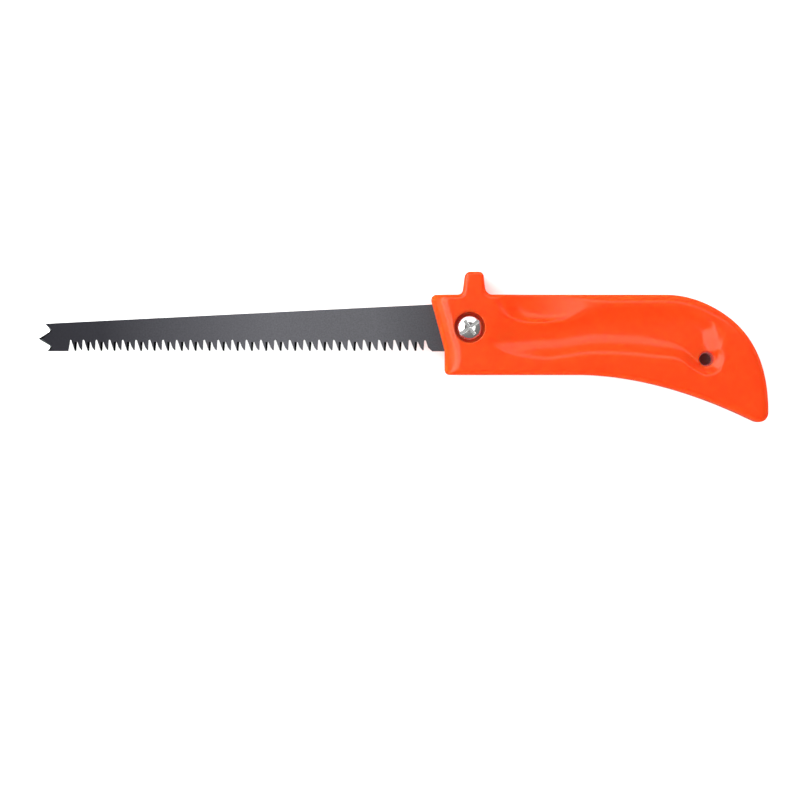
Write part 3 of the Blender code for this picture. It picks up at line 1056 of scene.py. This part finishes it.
# %% [markdown]
# ### Bright zinc plate
# Screw, washer and nut are barrel plated: bright, slightly bluish, with small dents from tumbling together,
# which break up the reflections of the room.

# %% Zinc
DENT_SIZE = 0.0009


def zinc_plate():
    material, tree, shader = new_material("bright_zinc_plate", Metallic=1.0, Roughness=0.22)
    shader.inputs["Base Color"].default_value = linear("#dcdcda")
    place = add(tree, "ShaderNodeTexCoord").outputs["Object"]
    dents = add(tree, "ShaderNodeTexNoise", inputs={"Vector": place, "Scale": 1 / DENT_SIZE, "Detail": 2.0})
    bump = add(tree, "ShaderNodeBump", inputs={
        "Height": dents.outputs["Fac"], "Strength": 0.3, "Distance": 0.00003})
    tree.links.new(bump.outputs["Normal"], shader.inputs["Normal"])
    return material


zinc = zinc_plate()
for piece in (screw, washer, nut):
    piece.data.materials.clear()
    piece.data.materials.append(zinc)
    print(f"{piece.name}: {zinc.name}")

# %% [markdown]
# ## Floor and light
# A white floor and soft light. The floor doesn't show in reflections, so it doesn't wash out the dark
# steel.

# %% Floor
def make_floor():
    bm = bmesh.new()
    bmesh.ops.create_grid(bm, x_segments=1, y_segments=1, size=3.0)
    mesh = bpy.data.meshes.new("floor")
    bm.to_mesh(mesh)
    bm.free()
    made = bpy.data.objects.new("floor", mesh)
    bpy.context.scene.collection.objects.link(made)
    material, _, shader = new_material("white_floor", Roughness=0.9)
    shader.inputs["Base Color"].default_value = linear("#f4f4f4")
    mesh.materials.append(material)
    made.visible_glossy = False
    return made


floor = make_floor()

# %% [markdown]
# Every light is a rectangle of even brightness. A light's power is worked out from how bright its face should
# look, so a larger softbox is softer and not dimmer.

# %% Softboxes
def softbox(name, direction, distance, size, radiance):
    """A rectangular light that faces the middle of the saw from a direction, its long side level."""
    light = bpy.data.lights.new(name, 'AREA')
    light.shape = 'RECTANGLE'
    light.size, light.size_y = size
    light.energy = radiance * pi * size[0] * size[1]
    made = bpy.data.objects.new(name, light)
    bpy.context.scene.collection.objects.link(made)
    made.location = Vector(direction).normalized() * distance
    made.rotation_euler = Vector(direction).to_track_quat('Z', 'Y').to_euler()
    return made


def panel(name, centre, height, size, radiance):
    """A level softbox over the table, facing down."""
    made = softbox(name, (0, 0, 1), height, size, radiance)
    made.location = (*centre, height)
    return made


# %% [markdown]
# In a studio the white ground is lit from both sides by lights that are flagged off the product, so shadows
# stay pale. Light linking does the flagging: these two panels light the floor alone.

# %% Ground lights
def ground_lights(ground):
    lit = bpy.data.collections.new("lit_by_ground_lights")
    lit.objects.link(ground)
    for side in (-1, 1):
        made = panel(f"ground_light_{side}", centre=(0.0, 1.25 * side), height=1.0,
                     size=(3.0, 1.7), radiance=3.0)
        made.light_linking.receiver_collection = lit


ground_lights(floor)

# %% [markdown]
# The main softbox stands low on the left, so surfaces that lean that way are brighter. Two level panels hang
# overhead and give the hollows their highlights: one behind the back, one over the blade's side.

# %% Window and overhead panels
softbox("window", direction=(-0.82, 0.22, 0.5), distance=1.2, size=(1.7, 0.6), radiance=4.0)
panel("overhead_back", centre=(-0.25, 0.66), height=1.0, size=(1.7, 0.72), radiance=1.9)
panel("overhead_left", centre=(-0.60, 0.12), height=1.0, size=(1.02, 0.75), radiance=3.4)

# %% [markdown]
# The room itself is the world: pale walls near the floor all round, darkness above them, and a slightly
# paler ceiling. Steep surfaces mirror the walls and get a bright rim, and level ones stay rich in colour.

# %% Room
def studio_world():
    world = bpy.data.worlds.new("studio")
    bpy.context.scene.world = world
    world.use_nodes = True
    tree = world.node_tree
    way = add(tree, "ShaderNodeTexCoord").outputs["Generated"]
    height = add(tree, "ShaderNodeSeparateXYZ", inputs={"Vector": way}).outputs["Z"]
    stops = [(0.0, 0.15), (0.02, 1.15), (0.12, 1.15), (0.3, 0.2), (0.8, 0.2), (0.95, 0.3)]
    sky = colour_ramp(tree, height, [(at, (level, level, level, 1.0)) for at, level in stops])
    tree.links.new(sky, tree.nodes["Background"].inputs["Color"])


studio_world()
bpy.context.scene.view_settings.view_transform = 'Standard'
bpy.context.scene.view_settings.look = 'None'
